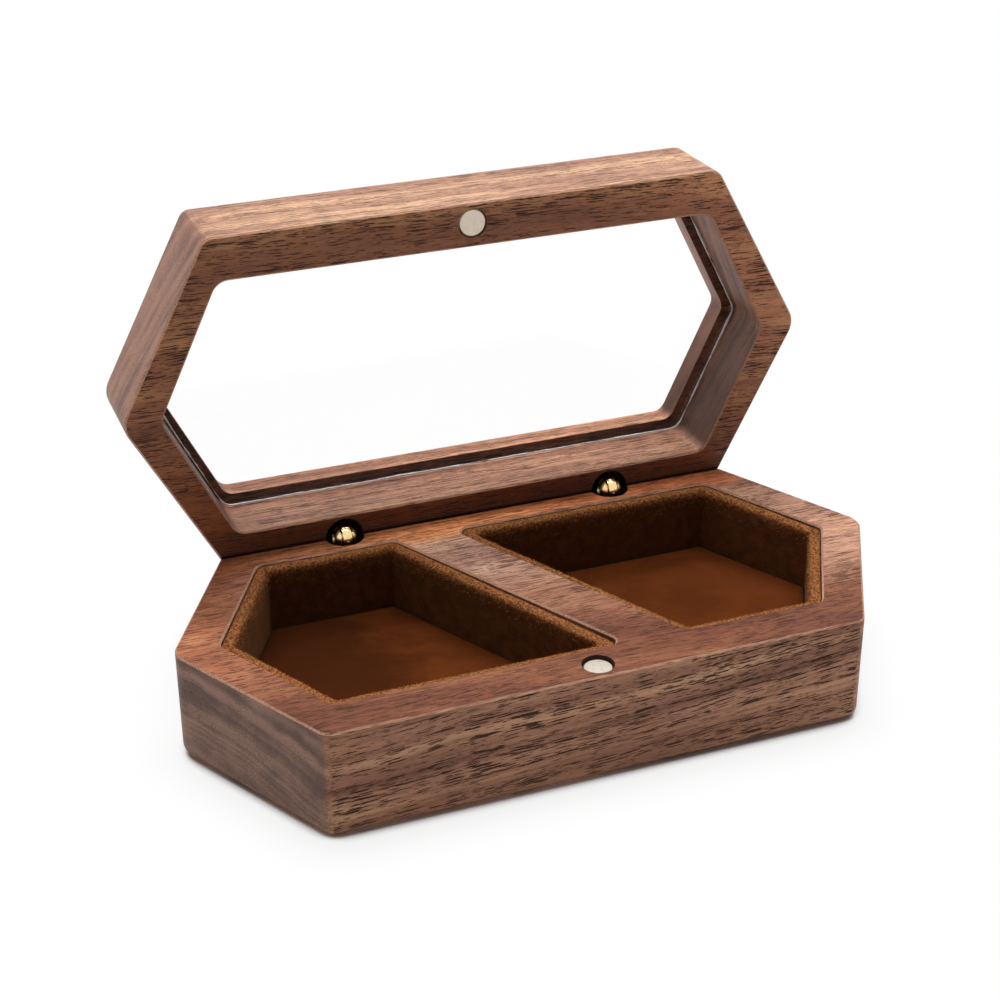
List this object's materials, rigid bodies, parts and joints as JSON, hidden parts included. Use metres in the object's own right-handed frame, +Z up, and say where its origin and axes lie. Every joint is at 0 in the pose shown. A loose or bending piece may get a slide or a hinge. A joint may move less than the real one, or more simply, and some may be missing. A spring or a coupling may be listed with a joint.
{
  "type": "hinged ring box",
  "caption": "Elongated hexagonal walnut ring box with lined pockets parted by a slanting divider, and a windowed lid on hidden barrel hinges with a magnet catch.",
  "frame": {"origin": "centre of the base's underside", "axes": "+X to the right along the length, +Y from the magnet side to the hinge side, +Z up; stored with the lid open on its stop"},
  "size_m": [0.119, 0.0746, 0.0744],
  "materials": {
    "walnut": "oiled, satin",
    "felt": "brown felt",
    "suede": "caramel suede",
    "card": "grey board",
    "clear_pane": "clear",
    "clear_glue": "clear glue",
    "nickel": "nickel plate",
    "brass": "polished brass",
    "pin_steel": "drawn steel"
  },
  "bodies": {
    "base": {"base_body": "walnut", "base_magnet": "nickel", "left_wall_lining": "felt", "left_floor_suede": "suede", "left_floor_card": "card", "left_hinge_base_barrel": "brass", "left_hinge_pin": "pin_steel", "right_wall_lining": "felt", "right_floor_suede": "suede", "right_floor_card": "card", "right_hinge_base_barrel": "brass", "right_hinge_pin": "pin_steel"},
    "lid": {"lid_frame": "walnut", "window_pane": "clear_pane", "pane_glue_bead": "clear_glue", "lid_magnet": "nickel", "left_hinge_lid_barrel": "brass", "right_hinge_lid_barrel": "brass"}
  },
  "joints": [
    {"name": "lid_hinge", "type": "hinge", "parent": "base", "child": "lid", "pos_m": [0, 0.0261, 0.01885], "axis": [-1, 0, 0], "range_deg": [-92, 0]}
  ]
}
